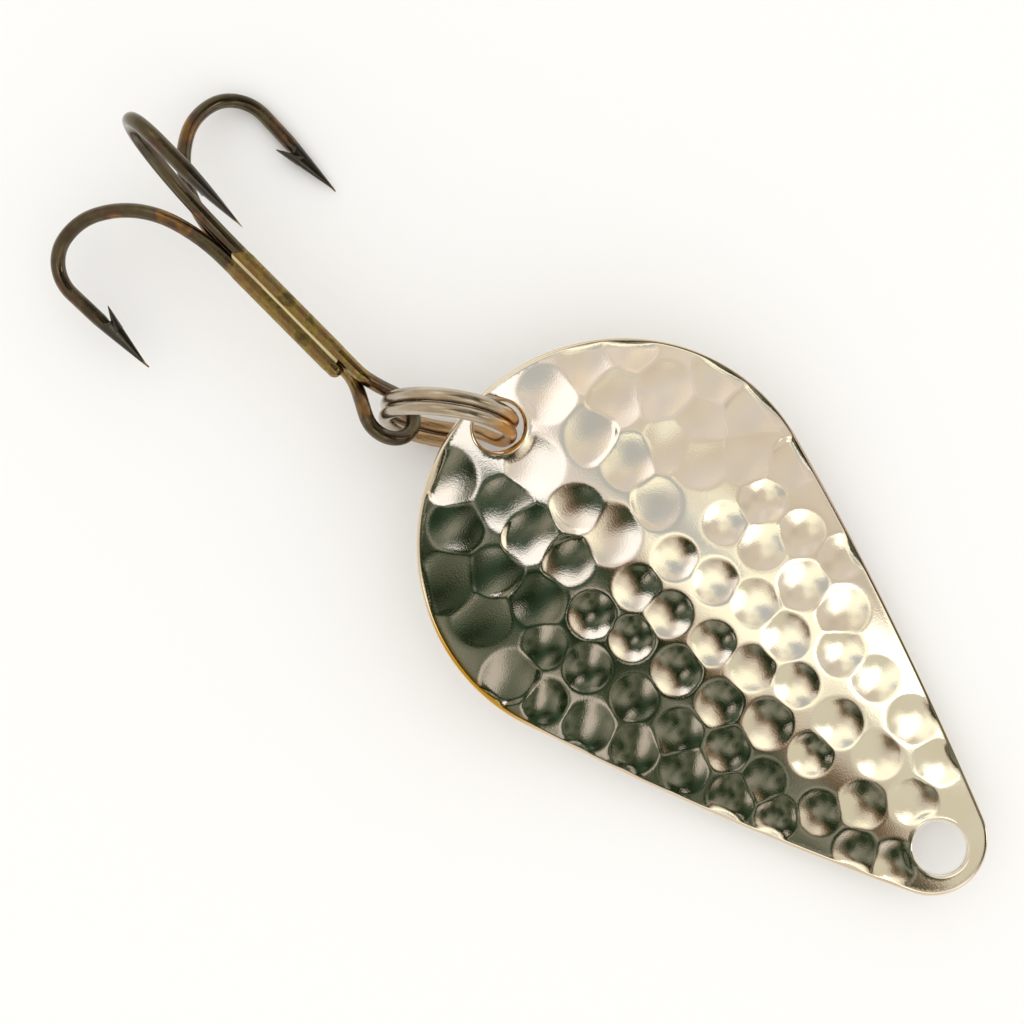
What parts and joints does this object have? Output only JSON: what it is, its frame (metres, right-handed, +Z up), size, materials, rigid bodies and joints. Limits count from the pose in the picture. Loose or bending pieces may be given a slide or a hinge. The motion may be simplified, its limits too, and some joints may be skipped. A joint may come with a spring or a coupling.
{
  "type": "spoon lure",
  "caption": "Hammered teardrop spoon lure with a cupped metal blade, a split ring in its wide end and a brazed treble hook.",
  "frame": {"origin": "middle of the line-tie hole, half-way through the sheet", "axes": "+X along the blade from the hook end to the line-tie end, +Z up out of the hollow side, +Y across the blade; the lure lies at rest on its belly, on a surface 1.84 mm below the origin"},
  "size_m": [0.072, 0.0265, 0.0149],
  "materials": {
    "nickel_blade": "nickel-plated hammered brass, polished",
    "ring_wire": "nickel-plated spring wire, polished",
    "hook_wire": "bronzed steel wire",
    "braze": "brass braze, mottled"
  },
  "bodies": {
    "blade": {"spoon_blade": "nickel_blade"},
    "ring": {"split_ring": "ring_wire"},
    "treble": {"hook_double_wire": "hook_wire", "hook_single_wire": "hook_wire", "hook_braze": "braze"}
  },
  "joints": [
    {"name": "ring_swivel", "type": "hinge", "parent": "blade", "child": "ring", "pos_m": [-0.04005, 0, 0.0025], "axis": [0, 0, 1], "range_deg": [-92, 18]},
    {"name": "hook_swing", "type": "hinge", "parent": "ring", "child": "treble", "pos_m": [-0.04593, -0.00427, 0.00266], "axis": [0, 0, 1], "range_deg": [-35, 105]}
  ]
}
